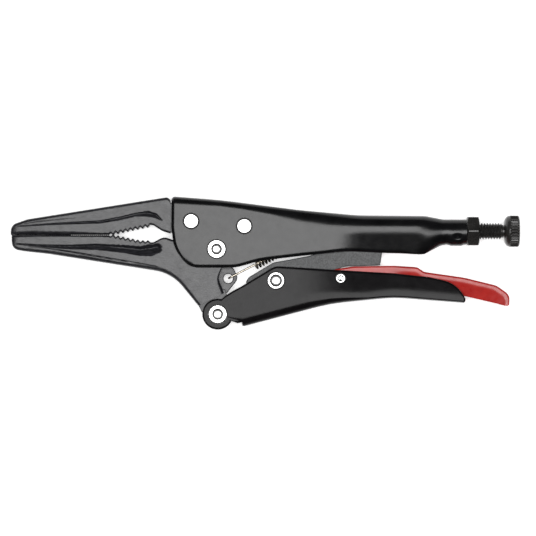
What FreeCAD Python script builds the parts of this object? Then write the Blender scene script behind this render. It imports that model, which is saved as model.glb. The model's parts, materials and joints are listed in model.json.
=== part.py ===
"""Locking pliers lying on their side: jaws towards -X, adjusting knob towards +X.

The fixed upper handle is towards +Y and every rivet stands along +Z. All side outlines are
drawn in the XY plane about the tool's middle plane, which lies at the sheet's mid_height.
"""
import FreeCAD, Part
import math
import os

os.makedirs("parts", exist_ok=True)
doc = FreeCAD.newDocument("locking_pliers")

# ---------------------------------------------------------------- driving dimensions, mm
DIMENSIONS = {
    "mid_height": 7.4,
    # rivet centres and the screw's axis
    "jaw_pivot_x": -21.9, "jaw_pivot_y": 6.3,
    "handle_pivot_x": -21.4, "handle_pivot_y": -23.1,
    "toggle_x": 4.9, "toggle_y": -7.9,
    "lever_x": 34.1, "lever_y": -6.9,
    "front_rivet_x": -33.4, "front_rivet_y": 18.9,
    "rear_rivet_x": -9.4, "rear_rivet_y": 16.7,
    "spring_hole_x": -16.7, "spring_hole_y": -7.0, "spring_hole_radius": 2.1,
    "link_nose_x": 53.4, "screw_y": 14.4,
    # half widths, measured from the middle plane
    "upper_outer": 6.6, "upper_inner": 4.7,
    "lower_front_outer": 5.1, "lower_front_inner": 3.2,
    "lower_rear_outer": 7.0, "lower_rear_inner": 5.0,
    "shank_half": 4.7, "shoulder_half": 6.0, "tip_half": 3.2,
    "jaw_half": 4.4, "jaw_ear_half": 2.9, "tab_half": 1.2,
    "link_half": 2.8,
    "lever_inner": 3.05, "lever_outer": 3.9,
    # sheet, rivets and running fits
    "upper_wall": 2.0, "lower_wall": 1.9, "lever_wall": 1.0, "bend_radius": 3.6,
    "running_gap": 0.05,
    "flush_rivet_radius": 3.6,
    "pivot_shank": 3.2, "pivot_head": 4.5,
    "toggle_shank": 2.9, "toggle_head": 4.2,
    "lever_shank": 1.6, "lever_head": 2.5,
    "head_height": 0.75, "flush_height": 0.1, "lever_head_height": 0.3,
    # screw, lock nut and knob
    "screw_radius": 3.75, "screw_tip_x": 61.3, "thread_start_x": 97.3, "thread_pitch": 1.25,
    "thread_depth": 0.6, "spigot_radius": 2.5, "spigot_length": 4.5,
    "neck_radius": 5.7, "neck_y": 14.0, "neck_end_x": 91.1,
    "nut_across_flats": 12.8, "nut_start_x": 91.3, "nut_length": 5.5,
    "knob_start_x": 108.2, "knob_end_x": 115.0, "knob_radius": 7.05,
    # spring
    "coil_radius": 2.5, "wire_radius": 0.45,
    "coil_start_x": -5.0, "coil_start_y": -0.9, "coil_end_x": 18.0, "coil_end_y": 11.1,
    "anchor_x": 21.0, "anchor_y": 12.7,
}
sheet = doc.addObject("Spreadsheet::Sheet", "dims")
for row, (alias, value) in enumerate(DIMENSIONS.items(), start=1):
    sheet.set(f"A{row}", alias)
    sheet.set(f"B{row}", str(value))
    sheet.setAlias(f"B{row}", alias)
doc.recompute()


def dim(alias):
    """A driving dimension, as the sheet holds it."""
    return float(sheet.get(alias))


def at(name):
    """The XY place of a rivet or hole named in the sheet."""
    return dim(name + "_x"), dim(name + "_y")


JAW_PIVOT = at("jaw_pivot")
HANDLE_PIVOT = at("handle_pivot")
TOGGLE = at("toggle")
LEVER = at("lever")
FRONT_RIVET = at("front_rivet")
REAR_RIVET = at("rear_rivet")
SPRING_HOLE = at("spring_hole")
LINK_NOSE = (dim("link_nose_x"), dim("screw_y"))
WIDE = 10.0  # half width of every blank before its sides are cut
nodes = []


# ---------------------------------------------------------------- outlines and features
def rounded(corners):
    """A closed outline of lines and tangent arcs. Each corner is (x, y) or (x, y, radius)."""
    points = [FreeCAD.Vector(c[0], c[1], 0) for c in corners]
    radii = [c[2] if len(c) > 2 else 0.0 for c in corners]
    count = len(points)
    entries, exits, arcs = [], [], []
    for i in range(count):
        corner = points[i]
        back = (points[i - 1] - corner).normalize()
        ahead = (points[(i + 1) % count] - corner).normalize()
        half_angle = back.getAngle(ahead) / 2
        if radii[i] == 0:
            entries.append(corner)
            exits.append(corner)
            arcs.append(None)
            continue
        reach = radii[i] / math.tan(half_angle)
        entry = corner + back * reach
        leave = corner + ahead * reach
        centre = corner + (back + ahead).normalize() * (radii[i] / math.sin(half_angle))
        middle = centre + (corner - centre).normalize() * radii[i]
        entries.append(entry)
        exits.append(leave)
        arcs.append(Part.Arc(entry, middle, leave))
    edges = []
    for i in range(count):
        if arcs[i]:
            edges.append(arcs[i])
        following = entries[(i + 1) % count]
        if (following - exits[i]).dot(points[(i + 1) % count] - points[i]) < -1e-6:
            raise RuntimeError(f"the arcs at corners {i} and {i + 1} overlap: {corners[i]}")
        if exits[i].distanceToPoint(following) > 1e-4:
            edges.append(Part.LineSegment(exits[i], following))
    return edges


def circle(centre, radius):
    return [Part.Circle(FreeCAD.Vector(centre[0], centre[1], 0), FreeCAD.Vector(0, 0, 1), radius)]


def new_body(name):
    body = doc.addObject("PartDesign::Body", name)
    body.Label = name
    return body


def sketch(body, name, outlines, plane="XY_Plane"):
    """A sketch on one of the body's origin planes, holding one or more closed outlines."""
    item = body.newObject("Sketcher::SketchObject", name)
    origin_plane = next(f for f in body.Origin.OriginFeatures if f.Role == plane)
    item.AttachmentSupport = [(origin_plane, "")]
    item.MapMode = "FlatFace"
    for edges in outlines:
        item.addGeometry(edges, False)
    return item


def pad(body, name, outlines, width):
    """Pad the outlines equally both ways from the middle plane; width is a sheet expression."""
    feature = body.newObject("PartDesign::Pad", name)
    feature.Profile = sketch(body, name + "_sketch", outlines)
    feature.Midplane = True
    feature.setExpression("Length", width)
    doc.recompute()
    return feature


def pocket(body, name, outlines, width, plane="XY_Plane"):
    """Cut the outlines equally both ways from the plane, and make sure that metal went."""
    before = body.Shape.Volume
    feature = body.newObject("PartDesign::Pocket", name)
    feature.Profile = sketch(body, name + "_sketch", outlines, plane)
    feature.Midplane = True
    feature.setExpression("Length", width)
    doc.recompute()
    if body.Shape.Volume > before - 0.01:
        raise RuntimeError(f"{name} cut nothing")
    return feature


def trim_sides(body, name, plan):
    """Cut both faces of a blank to the half widths in plan, a list of (x, half width)."""
    reach = WIDE + 1
    side = [(x, half) for x, half in plan] + [(plan[-1][0], reach), (plan[0][0], reach)]
    mirrored = [(x, -z) for x, z in side]
    pocket(body, name, [rounded(side), rounded(mirrored)], "200", "XZ_Plane")


def finish(item, name):
    """Lift a sub-part to the tool's height and list it for export."""
    item.Label = name
    item.Placement = FreeCAD.Placement(FreeCAD.Vector(0, 0, dim("mid_height")), FreeCAD.Rotation())
    nodes.append(item)


def cut(name, base, tool):
    item = doc.addObject("Part::Cut", name)
    item.Base = base
    item.Tool = tool
    doc.recompute()
    return item


def teeth(start, end, count, depth):
    """Saw teeth between two points: the roots lie on the line, the tips stand off its left."""
    dx = (end[0] - start[0]) / count
    dy = (end[1] - start[1]) / count
    length = math.hypot(dx, dy)
    points = []
    for i in range(count):
        root = (start[0] + dx * i, start[1] + dy * i)
        tip = (root[0] + dx / 2 - dy / length * depth, root[1] + dy / 2 + dx / length * depth)
        points += [root, tip]
    return points + [end]


# ---------------------------------------------------------------- upper handle
def upper_handle_outline(inset):
    """Side outline of the handle. inset moves the top edge in by the sheet's thickness."""
    low = -40.0 if inset else 0.0
    front = -60.0 if inset else -41.6
    rear = 76.0 if inset else 80.5
    front_rise = 0.08 * (-41.6 - front)
    top = [(front, 30.2 - inset + front_rise), (-20.4, 28.5 - inset, 200), (15.8, 23.9 - inset, 150),
           (42.0, 21.6 - inset, 80), (72.6, 21.3 - inset, 12), (rear, 19.8 - inset)]
    if inset:
        return rounded(top + [(rear, low), (front, low)])
    bottom = [(rear, 8.3), (77.0, 8.0, 4), (71.4, 3.9, 3), (56.0, 4.6, 60), (36.0, 5.2, 60),
              (16.0, 3.2, 60), (-2.5, 1.0, 40), (-13.0, -2.1, 20), (-34.6, -2.1, 10),
              (-41.0, 7.0, 14), (-42.1, 16.0, 20)]
    return rounded(top + bottom)


def make_upper_handle():
    body = new_body("upper_handle")
    pad(body, "handle_blank", [upper_handle_outline(0.0)], "2 * dims.upper_outer")
    round_bend(body, "handle_bend", dim("upper_outer"), dim("bend_radius"))
    neck = body.newObject("PartDesign::Pad", "neck")
    neck.Profile = sketch(body, "neck_sketch", [circle((dim("neck_y"), 0), dim("neck_radius"))],
                          "YZ_Plane")
    neck.setExpression("Length", "dims.neck_end_x")
    doc.recompute()
    pocket(body, "channel", [upper_handle_outline(dim("upper_wall"))], "2 * dims.upper_inner")
    bore = body.newObject("PartDesign::Pocket", "screw_bore")
    bore_radius = dim("screw_radius") + dim("running_gap")
    bore.Profile = sketch(body, "bore_sketch", [circle((dim("screw_y"), 0), bore_radius)], "YZ_Plane")
    bore.Reversed = True
    bore.setExpression("Length", "dims.neck_end_x + 1")
    doc.recompute()
    holes = [circle(FRONT_RIVET, dim("flush_rivet_radius")),
             circle(REAR_RIVET, dim("flush_rivet_radius")),
             circle(JAW_PIVOT, dim("pivot_shank"))]
    pocket(body, "rivet_holes", holes, "4 * dims.upper_outer")
    finish(body, "upper_handle")


def round_bend(body, name, half, radius):
    """Round the two long bends where the top web turns into the walls."""
    base = body.Tip
    wanted = []
    for index, edge in enumerate(body.Shape.Edges, start=1):
        box = edge.BoundBox
        on_face = abs(abs(box.ZMin) - half) < 1e-3 and box.ZLength < 1e-3
        if on_face and box.YMin > 18.0 and box.XLength > box.YLength:
            wanted.append(f"Edge{index}")
    feature = body.newObject("PartDesign::Fillet", name)
    feature.Base = (base, wanted)
    feature.Radius = radius
    doc.recompute()


# ---------------------------------------------------------------- jaws
def make_fixed_jaw():
    body = new_body("fixed_jaw")
    bite = teeth((-52.0, 17.4), (-69.8, 13.6), 8, 0.8)
    nose = [(-115.0, 12.8), (-115.0, 17.6, 3.2), (-106.5, 20.5, 15), (-97.5, 21.0, 30),
            (-45.0, 29.8, 2.4), (-42.9, 27.0), (-43.4, 13.9), (-47.0, 15.2, 4), (-50.2, 17.4)]
    nose += bite + [(-71.0, 12.8)]
    pad(body, "nose", [rounded(nose)], f"{2 * WIDE}")
    plan = [(-116.0, dim("tip_half")), (-100.0, 4.2), (-60.0, 5.6), (-42.0, dim("shoulder_half"))]
    trim_sides(body, "nose_taper", plan)
    hub_clearance = 8.6
    over = JAW_PIVOT[1] + hub_clearance
    shank = [(-46.0, 14.9), (-42.0, 13.3, 4), (-34.0, 13.3, 3), (-27.0, over, 4),
             (-17.0, over, 5), (-13.5, 12.4, 3), (-5.0, 12.4, 3), (-5.0, 24.0, 1), (-22.0, 26.0),
             (-41.8, 27.6), (-46.0, 27.8)]
    pad(body, "shank", [rounded(shank)], "2 * dims.shank_half")
    holes = [circle(FRONT_RIVET, dim("flush_rivet_radius")),
             circle(REAR_RIVET, dim("flush_rivet_radius"))]
    pocket(body, "rivet_holes_fixed", holes, "40")
    finish(body, "fixed_jaw")


def make_moving_jaw():
    body = new_body("moving_jaw")
    bite = teeth((-69.8, 12.2), (-56.4, 9.4), 6, 0.8) + teeth((-56.4, 9.4), (-51.2, 9.4), 2, 0.8)[1:]
    jaw = [(-114.6, 12.5), (-71.0, 12.5)] + bite
    jaw += [(-45.6, 11.8, 4), (-41.0, 9.4, 6), (-34.0, 9.0, 4), (-29.5, 13.2, 5), (-22.0, 15.2, 8),
            (-13.8, 11.0, 6), (-13.9, 2.0, 6), (-19.0, -1.8, 2), (-21.6, -6.6, 6), (-18.6, -13.5),
            (-29.6, -19.3), (-42.2, -4.6, 20), (-97.5, 4.1, 60), (-108.5, 5.4, 10),
            (-114.6, 6.4, 4)]
    pad(body, "jaw_blank", [rounded(jaw)], f"{2 * WIDE}")
    plan = [(-116.0, dim("tip_half")), (-70.0, dim("jaw_half")), (-10.0, dim("jaw_half"))]
    trim_sides(body, "jaw_taper", plan)
    pad(body, "ear", [circle(HANDLE_PIVOT, 6.3)], "2 * dims.jaw_ear_half")
    neck = [(-18.0, -12.0), (-15.2, -22.0), (-27.4, -22.0), (-29.2, -18.5), (-24.0, -12.0)]
    pad(body, "ear_neck", [rounded(neck)], "2 * dims.jaw_ear_half")
    tab = [(-20.0, -1.0), (-14.4, -1.8, 3), (-12.2, -7.2, 3), (-17.9, -14.4), (-22.5, -8.0)]
    pad(body, "spring_tab", [rounded(tab)], "2 * dims.tab_half")
    gap = dim("running_gap")
    holes = [circle(JAW_PIVOT, dim("pivot_shank") + gap), circle(HANDLE_PIVOT, dim("pivot_shank") + gap),
             circle(SPRING_HOLE, dim("spring_hole_radius"))]
    pocket(body, "pivot_holes", holes, "40")
    finish(body, "moving_jaw")


# ---------------------------------------------------------------- lower handle
LOWER_TOP = [(90.3, -15.5, 1), (86.2, -9.7, 5), (74.0, -6.4, 12), (58.0, -4.5, 40), (4.5, -1.3, 6)]
LOWER_BOTTOM = [(-10.2, -28.8, 1), (29.4, -18.4, 80), (58.0, -15.6, 60), (90.3, -18.1, 1)]


def lower_handle_plan(front, rear):
    """Half widths of the lower channel, narrow at the jaw and wide at the grip."""
    return [(-30.0, front), (-2.0, front), (30.0, rear), (95.0, rear)]


def make_lower_handle():
    shell = new_body("lower_shell")
    outline = LOWER_BOTTOM + LOWER_TOP + [(-19.2, -15.6, 1), (-23.0, -21.0), (-14.9, -26.3, 1),
                                         (-12.4, -26.4, 0.5)]
    pad(shell, "shell_blank", [rounded(outline)], f"{2 * WIDE}")
    pad(shell, "lobe", [circle(HANDLE_PIVOT, 7.0)], f"{2 * WIDE}")
    trim_sides(shell, "shell_sides",
               lower_handle_plan(dim("lower_front_outer"), dim("lower_rear_outer")))
    core = new_body("lower_core")
    wall = dim("lower_wall")
    floor = [(-10.2, -28.8 + wall, 0.5), (29.4, -18.4 + wall, 80), (58.0, -15.6 + wall, 60),
             (96.0, -18.5 + wall), (96.0, 8.0), (-35.0, 8.0), (-35.0, -35.0), (-11.4, -35.0)]
    pad(core, "core_blank", [rounded(floor)], f"{2 * WIDE}")
    trim_sides(core, "core_sides", lower_handle_plan(dim("lower_front_inner"), dim("lower_rear_inner")))
    channel = cut("lower_channel", shell, core)
    pins = new_body("lower_pin_holes")
    pad(pins, "pins", [circle(HANDLE_PIVOT, dim("pivot_shank")), circle(TOGGLE, dim("toggle_shank")),
                       circle(LEVER, dim("lever_shank"))], "40")
    finish(cut("lower_handle", channel, pins), "lower_handle")


# ---------------------------------------------------------------- toggle link
def make_toggle_link():
    body = new_body("toggle_link")
    nose_x, nose_y = LINK_NOSE
    nose_radius = 3.4
    blade = [(-9.2, -9.2, 1.5), (-7.4, -6.4, 2), (3.6, 0.2, 6), (20.0, 3.2, 20), (36.0, 8.6, 30),
             (44.0, nose_y + nose_radius, 6), (nose_x + nose_radius, nose_y + nose_radius, nose_radius),
             (nose_x + nose_radius, nose_y - nose_radius, nose_radius), (53.4, 8.0, 1),
             (52.0, -1.1, 0.8), (36.0, -1.6, 10), (22.0, -6.6, 20), (12.0, -13.4, 6),
             (4.0, -14.6, 6), (-3.0, -13.0, 3)]
    pad(body, "blade", [rounded(blade)], "2 * dims.link_half")
    hole = circle(TOGGLE, dim("toggle_shank") + dim("running_gap"))
    pocket(body, "toggle_hole", [hole], "40")
    finish(body, "toggle_link")


# ---------------------------------------------------------------- release lever
def make_release_lever():
    shell = new_body("lever_shell")
    top = [(110.3, -19.6, 0.8), (110.8, -14.2, 4), (104.6, -10.2, 6), (90.0, -6.6, 30),
           (71.8, -4.0, 2), (68.8, -1.9, 2), (58.0, -1.2, 40), (33.0, -1.9, 5)]
    nose = [(29.0, -6.4, 4), (33.5, -11.8, 4)]
    low = [(45.0, -9.6, 10), (62.0, -10.4, 20), (80.0, -12.8, 30), (92.0, -15.5, 20)]
    pad(shell, "lever_blank", [rounded(top + nose + low)], "2 * dims.lever_outer")
    core = new_body("lever_core")
    wall = dim("lever_wall")
    inside = [(109.2, -25.0), (109.2, -15.4, 3), (103.8, -11.4, 5), (90.0, -6.6 - wall, 30),
              (71.4, -4.2 - wall, 2), (67.4, -2.4 - wall, 2), (57.5, -2.6, 2), (57.5, 4.0),
              (24.0, 4.0), (24.0, -25.0)]
    pad(core, "lever_hollow", [rounded(inside)], "2 * dims.lever_inner")
    pusher = [(47.2, -4.6, 0.5), (50.2, -4.6, 0.5), (50.2, -6.4, 0.5), (47.2, -6.4, 0.5)]
    pocket(core, "pusher_bar", [rounded(pusher)], "40")
    channel = cut("lever_channel", shell, core)
    pin = new_body("lever_pin_hole")
    pad(pin, "lever_pin", [circle(LEVER, dim("lever_shank") + dim("running_gap"))], "40")
    finish(cut("release_lever", channel, pin), "release_lever")


# ---------------------------------------------------------------- rivets
def make_rivet(name, centre, shank, head, seat, height, dimple):
    """A solid rivet turned about its own axis: shank, a low head on each side, and a dimple."""
    body = new_body(name)
    top = seat + height
    profile = [(0, top - dimple * 0.4), (dimple, top - dimple * 0.4), (dimple * 1.15, top),
               (head - height * 0.5, top), (head, top - height * 0.5)]
    if head > shank:
        profile += [(head, seat), (shank, seat)]
    mirrored = [(r, -z) for r, z in reversed(profile)]
    item = body.newObject("PartDesign::Revolution", name + "_turned")
    outline = [(r, z) for r, z in profile + mirrored]
    profile_sketch = sketch(body, name + "_profile", [rounded(outline)], "XZ_Plane")
    item.Profile = profile_sketch
    item.ReferenceAxis = (profile_sketch, ["V_Axis"])
    item.Angle = 360.0
    doc.recompute()
    finish(body, name)
    body.Placement.Base = FreeCAD.Vector(centre[0], centre[1], dim("mid_height"))


def make_rivets():
    height = dim("head_height")
    flush = dim("flush_height")
    radius = dim("flush_rivet_radius")
    upper = dim("upper_outer")
    make_rivet("front_jaw_rivet", FRONT_RIVET, radius, radius, upper, flush, 0.2)
    make_rivet("rear_jaw_rivet", REAR_RIVET, radius, radius, upper, flush, 0.2)
    make_rivet("jaw_pivot_rivet", JAW_PIVOT, dim("pivot_shank"), dim("pivot_head"), upper, height, 1.7)
    make_rivet("handle_pivot_rivet", HANDLE_PIVOT, dim("pivot_shank"), dim("pivot_head"),
               dim("lower_front_outer"), height, 2.2)
    width_slope = (dim("lower_rear_outer") - dim("lower_front_outer")) / 32.0
    toggle_seat = dim("lower_front_outer") + width_slope * (TOGGLE[0] + 2.0 + dim("toggle_head"))
    make_rivet("toggle_rivet", TOGGLE, dim("toggle_shank"), dim("toggle_head"), toggle_seat, height, 2.4)
    make_rivet("release_lever_rivet", LEVER, dim("lever_shank"), dim("lever_head"),
               dim("lower_rear_outer"), dim("lever_head_height"), 1.2)


# ---------------------------------------------------------------- spring and its bracket
def make_spring():
    """The spring's outer shape: coil barrel, straight leg and the hook through the jaw's tab."""
    start = FreeCAD.Vector(dim("coil_start_x"), dim("coil_start_y"), 0)
    end = FreeCAD.Vector(dim("coil_end_x"), dim("coil_end_y"), 0)
    along = (end - start).normalize()
    wire = dim("wire_radius")
    hook_height = FreeCAD.Vector(0, 0, dim("tab_half") + 2 * wire)
    hook = FreeCAD.Vector(SPRING_HOLE[0] + 1.0, SPRING_HOLE[1] + 0.5, 0) + hook_height
    anchor = FreeCAD.Vector(dim("anchor_x"), dim("anchor_y"), 0) - along
    runs = [(start, end, dim("coil_radius")), (hook, start + hook_height + along, wire),
            (end, anchor, wire),
            (hook + FreeCAD.Vector(0, 0, wire), hook - hook_height * 2, wire)]
    pieces = []
    for number, (low, high, radius) in enumerate(runs, start=1):
        rod = doc.addObject("Part::Cylinder", f"spring_run_{number}")
        rod.Radius = radius
        rod.Height = low.distanceToPoint(high)
        rod.Placement = FreeCAD.Placement(low, FreeCAD.Rotation(FreeCAD.Vector(0, 0, 1), high - low))
        pieces.append(rod)
    joined = doc.addObject("Part::MultiFuse", "tension_spring")
    joined.Shapes = pieces
    doc.recompute()
    finish(joined, "tension_spring")


def make_spring_bracket():
    body = new_body("spring_bracket")
    x, y = at("anchor")
    lug = [(x - 0.2, y - 2.2, 1), (x + 3.6, y - 2.2, 1), (x + 4.6, 21.02), (x - 2.4, 21.64)]
    pad(body, "lug", [rounded(lug)], "2 * dims.tab_half")
    pocket(body, "hook_hole", [circle((x + 1.6, y), 0.8)], "10")
    finish(body, "spring_bracket")


# ---------------------------------------------------------------- screw, nut, knob
def revolve_about_screw(name, profile):
    """Turn a profile of (x, radius) points about the screw's axis."""
    body = new_body(name)
    item = body.newObject("PartDesign::Revolution", name + "_turned")
    profile_sketch = sketch(body, name + "_profile", [rounded(profile)])
    item.Profile = profile_sketch
    item.ReferenceAxis = (profile_sketch, ["H_Axis"])
    item.Angle = 360.0
    doc.recompute()
    return body


def finish_on_screw(body, name):
    finish(body, name)
    body.Placement.Base = FreeCAD.Vector(0, dim("screw_y"), dim("mid_height"))


def make_screw():
    tip, radius, start = dim("screw_tip_x"), dim("screw_radius"), dim("thread_start_x")
    pitch, depth = dim("thread_pitch"), dim("thread_depth")
    shoulder = dim("knob_start_x") - 0.1
    spigot = dim("spigot_radius")
    profile = [(tip, 0), (tip, 2.2), (tip + 1.5, radius), (start, radius)]
    turns = int((shoulder - start) / pitch)
    for i in range(turns):
        x = start + i * pitch
        profile += [(x + 0.15 * pitch, radius), (x + 0.5 * pitch, radius - depth),
                    (x + 0.85 * pitch, radius)]
    profile += [(shoulder, radius), (shoulder, spigot), (shoulder + dim("spigot_length"), spigot),
                (shoulder + dim("spigot_length"), 0)]
    finish_on_screw(revolve_about_screw("adjusting_screw", profile), "adjusting_screw")


def make_knob():
    start, end, radius = dim("knob_start_x"), dim("knob_end_x"), dim("knob_radius")
    bore = dim("spigot_radius") + dim("running_gap")
    depth = dim("spigot_length") + 0.2
    profile = [(start, bore), (start, radius - 0.3, 0.8), (start + 2.4, radius - 0.3),
               (start + 2.6, radius), (end, radius, 1.0), (end, 0), (start + depth, 0),
               (start + depth, bore)]
    finish_on_screw(revolve_about_screw("adjusting_knob", profile), "adjusting_knob")


def make_lock_nut():
    """A hexagon nut, one corner up, chamfered on both faces, with a plain bore."""
    start, length = dim("nut_start_x"), dim("nut_length")
    flat = dim("nut_across_flats") / 2
    corner = flat / math.cos(math.pi / 6)
    bore = dim("screw_radius") + dim("running_gap")
    profile = [(start, bore), (start, flat), (start + 0.6, corner), (start + length - 0.6, corner),
               (start + length, flat), (start + length, bore)]
    body = revolve_about_screw("lock_nut", profile)
    hexagon = [(corner * math.sin(math.pi / 3 * i), corner * math.cos(math.pi / 3 * i))
               for i in range(6)]
    pocket(body, "flats", [rounded(hexagon), circle((0, 0), corner + 3)], "400", "YZ_Plane")
    finish_on_screw(body, "lock_nut")


# ---------------------------------------------------------------- build, check, write
make_upper_handle()
make_fixed_jaw()
make_moving_jaw()
make_lower_handle()
make_toggle_link()
make_release_lever()
make_rivets()
make_spring()
make_spring_bracket()
make_screw()
make_knob()
make_lock_nut()
doc.recompute()

for item in doc.Objects:
    if any(word in item.State for word in ("Invalid", "Error")):
        raise RuntimeError(f"{item.Name} failed")
for item in nodes:
    if item.Shape.isNull() or not item.Shape.isValid():
        raise RuntimeError(f"{item.Label} has no valid shape")
    box = item.Shape.BoundBox
    print(f"{item.Label:20s} solids {len(item.Shape.Solids)} volume {item.Shape.Volume:9.1f}"
          f"  x {box.XMin:7.1f} {box.XMax:7.1f}  y {box.YMin:6.1f} {box.YMax:6.1f}"
          f"  z {box.ZMin:5.2f} {box.ZMax:5.2f}")
    item.Shape.exportStep(f"parts/{item.Label}.step")
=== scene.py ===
"""The looks of a pair of locking pliers that lie on their side on a white table.

Outlines are in millimetres about the tool's middle plane, and make_object() turns them into
metres. Every piece takes the place of the CAD node that it is named after.
"""
import json
import math

import bmesh
import bpy
import numpy as np
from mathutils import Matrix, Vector


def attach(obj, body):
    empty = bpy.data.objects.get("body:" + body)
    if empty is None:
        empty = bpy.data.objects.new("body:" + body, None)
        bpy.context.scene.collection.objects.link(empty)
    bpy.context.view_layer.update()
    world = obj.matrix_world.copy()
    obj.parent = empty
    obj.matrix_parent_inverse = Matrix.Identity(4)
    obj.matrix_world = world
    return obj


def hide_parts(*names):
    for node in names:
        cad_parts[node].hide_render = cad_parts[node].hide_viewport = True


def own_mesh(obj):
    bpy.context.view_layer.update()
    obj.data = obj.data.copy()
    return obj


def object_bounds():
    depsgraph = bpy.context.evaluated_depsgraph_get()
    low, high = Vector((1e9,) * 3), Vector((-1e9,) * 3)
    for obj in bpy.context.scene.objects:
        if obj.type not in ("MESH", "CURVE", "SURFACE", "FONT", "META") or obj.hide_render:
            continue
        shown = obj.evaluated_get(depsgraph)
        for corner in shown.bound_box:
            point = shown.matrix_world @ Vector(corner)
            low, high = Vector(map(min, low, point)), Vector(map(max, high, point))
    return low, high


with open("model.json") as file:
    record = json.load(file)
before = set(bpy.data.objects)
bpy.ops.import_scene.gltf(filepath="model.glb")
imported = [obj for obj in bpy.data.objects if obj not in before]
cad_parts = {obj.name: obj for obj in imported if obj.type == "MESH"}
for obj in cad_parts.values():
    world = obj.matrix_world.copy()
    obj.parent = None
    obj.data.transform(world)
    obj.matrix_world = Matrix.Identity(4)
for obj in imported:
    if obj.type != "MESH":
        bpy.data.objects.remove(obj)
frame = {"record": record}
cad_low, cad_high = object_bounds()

MM = 0.001
JOINTS = {joint["name"]: joint for joint in frame["record"]["behaviour"]["joints"]}


def joint_place(name):
    """A joint's centre in plan, in millimetres."""
    return np.array(JOINTS[name]["pos_m"][:2]) / MM


MIDDLE_Z = JOINTS["jaw_pivot"]["pos_m"][2] / MM
JAW_PIVOT = joint_place("jaw_pivot")
HANDLE_PIVOT = joint_place("handle_pivot")
TOGGLE = joint_place("toggle_pivot")
LEVER = joint_place("release_lever_pivot")
SCREW_Y = JOINTS["lock_nut_turn"]["pos_m"][1] / MM


def smooth(value, start, end):
    """0 before start, 1 after end, and an S-curve between them."""
    t = np.clip((np.asarray(value, float) - start) / (end - start), 0, 1)
    return t * t * (3 - 2 * t)


# ------------------------------------------------------------------ outlines
def rounded(corners, step=6.0):
    """Points along a closed outline whose corners (x, y, radius) are rounded by tangent arcs."""
    places = [np.array(c[:2], float) for c in corners]
    points = []
    for i, corner in enumerate(corners):
        here = places[i]
        radius = corner[2] if len(corner) > 2 else 0.0
        if radius == 0:
            points.append(here)
            continue
        back = places[i - 1] - here
        ahead = places[(i + 1) % len(places)] - here
        back /= np.linalg.norm(back)
        ahead /= np.linalg.norm(ahead)
        half_angle = math.acos(np.clip(back @ ahead, -1, 1)) / 2
        centre = here + (back + ahead) / np.linalg.norm(back + ahead) * radius / math.sin(half_angle)
        first = here + back * radius / math.tan(half_angle) - centre
        last = here + ahead * radius / math.tan(half_angle) - centre
        start = math.atan2(first[1], first[0])
        turn = (math.atan2(last[1], last[0]) - start + math.pi) % (2 * math.pi) - math.pi
        count = max(2, int(abs(math.degrees(turn)) / step) + 1)
        for k in range(count + 1):
            angle = start + turn * k / count
            points.append(centre + radius * np.array([math.cos(angle), math.sin(angle)]))
    return np.array(points)


def resample(points, count):
    """Evenly spaced points along an open line."""
    points = np.asarray(points, float)
    steps = np.linalg.norm(np.diff(points, axis=0), axis=1)
    along = np.concatenate([[0], np.cumsum(steps)])
    places = np.linspace(0, along[-1], count)
    return np.stack([np.interp(places, along, points[:, k]) for k in range(points.shape[1])], axis=1)


def arc(centre, radius, start, end, count=24):
    """Points on a circle's arc, angles in degrees."""
    angles = np.radians(np.linspace(start, end, count))
    return np.array(centre) + radius * np.stack([np.cos(angles), np.sin(angles)], axis=1)


# ------------------------------------------------------------------ meshes
def make_object(name, vertices, faces):
    """A mesh object from vertices in millimetres about the middle plane."""
    world = (np.asarray(vertices, float) + [0, 0, MIDDLE_Z]) * MM
    mesh = bpy.data.meshes.new(name)
    mesh.from_pydata(world.tolist(), [], faces)
    mesh.validate()
    mesh.update()
    piece = bpy.data.objects.new(name, mesh)
    bpy.context.collection.objects.link(piece)
    return piece


def tube_of_rings(name, rings):
    """A skin over closed rings of points, with flat caps at its ends."""
    rings = np.asarray(rings, float)
    count, size = rings.shape[:2]
    faces = [tuple(range(size)), tuple(range((count - 1) * size, count * size))[::-1]]
    for i in range(count - 1):
        for j in range(size):
            this, after = i * size + j, i * size + (j + 1) % size
            faces.append((this, after, after + size, this + size))
    piece = make_object(name, rings.reshape(-1, 3), faces)
    fix_normals(piece)
    return piece


def fix_normals(piece, reach=1e-7):
    """Weld points closer than reach metres and turn all faces outwards."""
    work = bmesh.new()
    work.from_mesh(piece.data)
    bmesh.ops.remove_doubles(work, verts=work.verts, dist=reach)
    bmesh.ops.recalc_face_normals(work, faces=work.faces)
    work.to_mesh(piece.data)
    work.free()


def shade(piece, angle=32.0, weighted=True):
    """Smooth shading that stays crisp at edges sharper than the angle."""
    for polygon in piece.data.polygons:
        polygon.use_smooth = True
    piece.data.set_sharp_from_angle(angle=math.radians(angle))
    if weighted:
        modifier = piece.modifiers.new("even_faces", "WEIGHTED_NORMAL")
        modifier.keep_sharp = True
        modifier.weight = 80


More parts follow.
